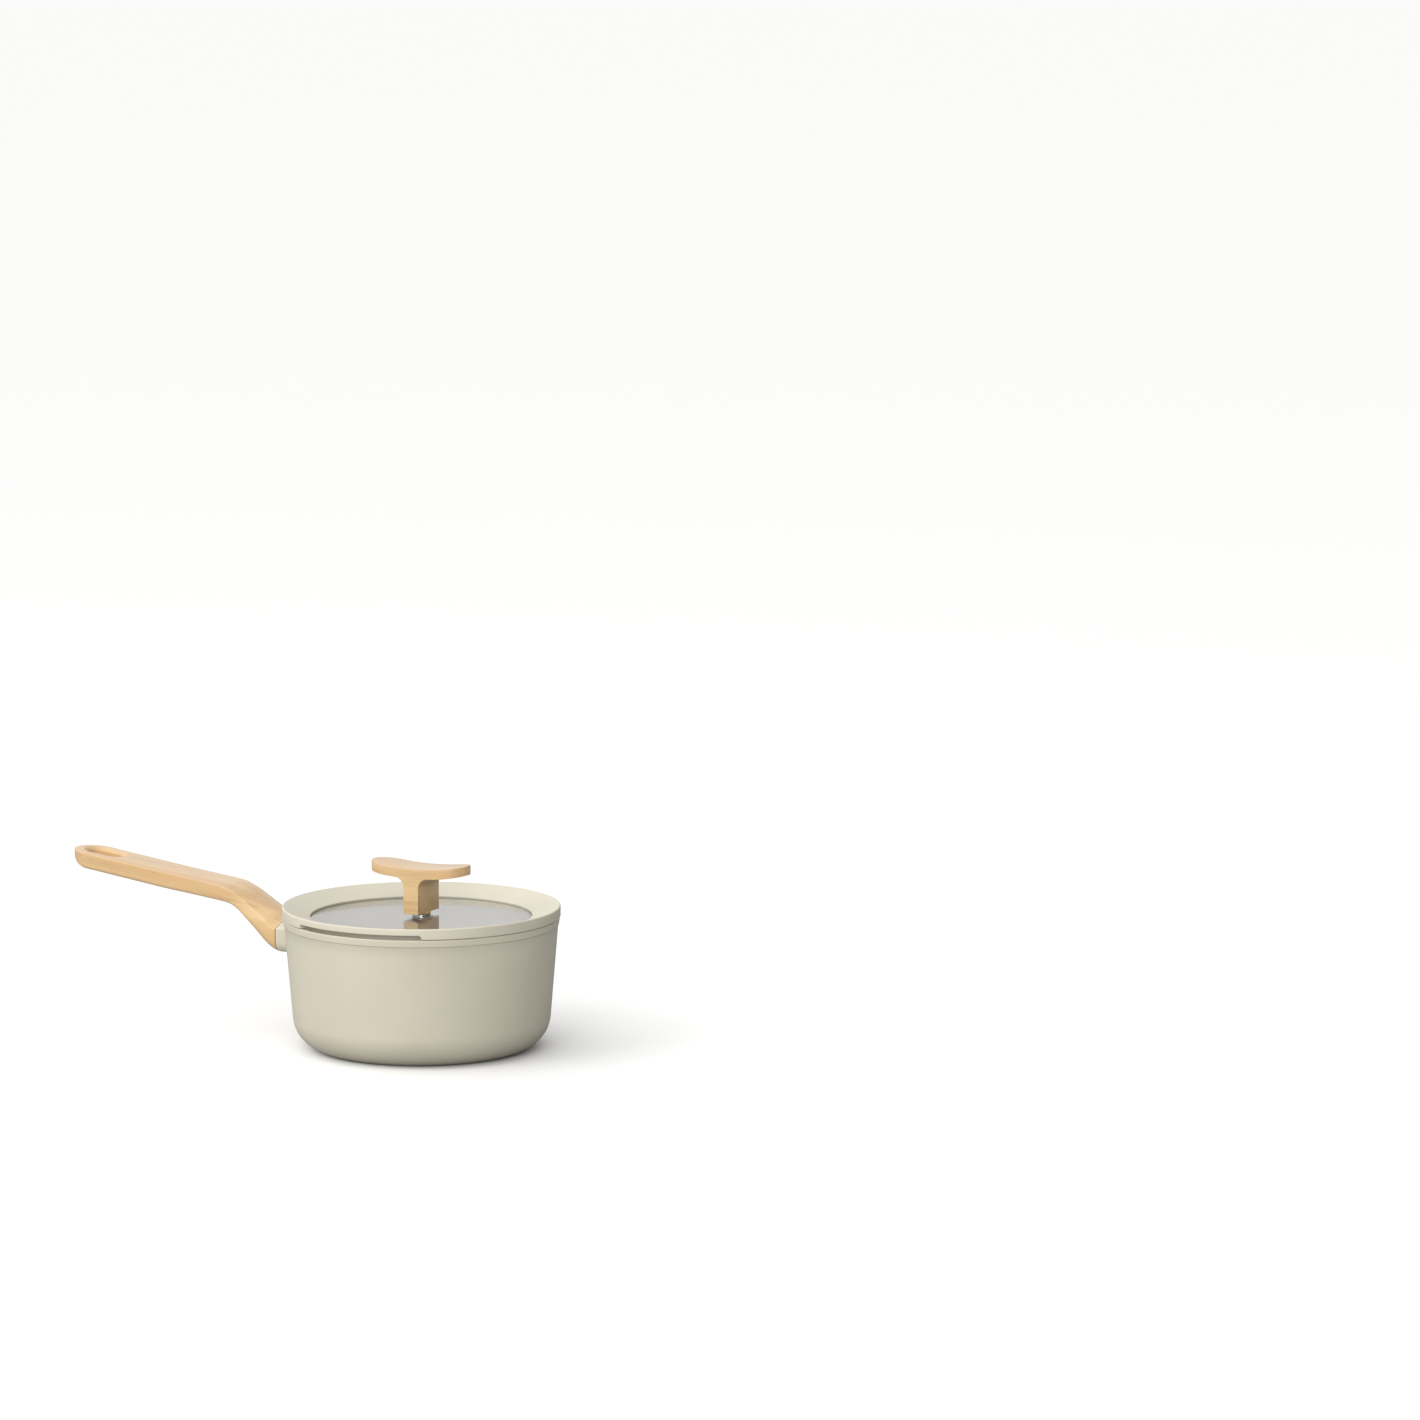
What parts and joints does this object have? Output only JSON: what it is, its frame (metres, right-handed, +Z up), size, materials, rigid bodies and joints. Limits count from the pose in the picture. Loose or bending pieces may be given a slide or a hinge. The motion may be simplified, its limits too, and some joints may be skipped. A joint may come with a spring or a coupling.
{
  "type": "saucepan with glass lid",
  "caption": "Round flared saucepan with a long rising wooden handle and a glass lid with a raised strainer ring and wooden T knob.",
  "frame": {"origin": "centre of the induction plate's flat underside, on the pan's axis", "axes": "+Z up along the pan's axis, -X towards the handle's tip, strainer slots of the lid towards -Y and +Y"},
  "size_m": [0.3627, 0.1856, 0.1251],
  "materials": {
    "cream_coating": "satin cream coating outside, warm beige non-stick coating inside",
    "light_wood": "satin oiled light hardwood with fine straight grain",
    "stainless_steel": "bright turned steel",
    "base_steel": "concentric brushed",
    "brass": "machined",
    "cream_silicone": "satin cream silicone",
    "grey_silicone": "matte",
    "tempered_glass": "polished clear",
    "bare_aluminium": "bare cast"
  },
  "bodies": {
    "pan": {"pan_body": "cream_coating", "induction_base_plate": "base_steel", "handle_bracket": "bare_aluminium", "handle_ferrule": "cream_coating", "handle_grip": "light_wood", "handle_screw": "stainless_steel", "handle_washer": "stainless_steel"},
    "lid": {"lid_rim_ring": "cream_silicone", "lid_glass": "tempered_glass", "lid_knob": "light_wood", "knob_insert": "brass", "knob_top_washer": "stainless_steel", "knob_grommet": "grey_silicone", "knob_bottom_washer": "stainless_steel", "knob_screw": "stainless_steel"}
  },
  "joints": [
    {"name": "lid_lift", "type": "slide", "parent": "pan", "child": "lid", "axis": [0, 0, 1], "range_m": [0, 0.12]}
  ]
}
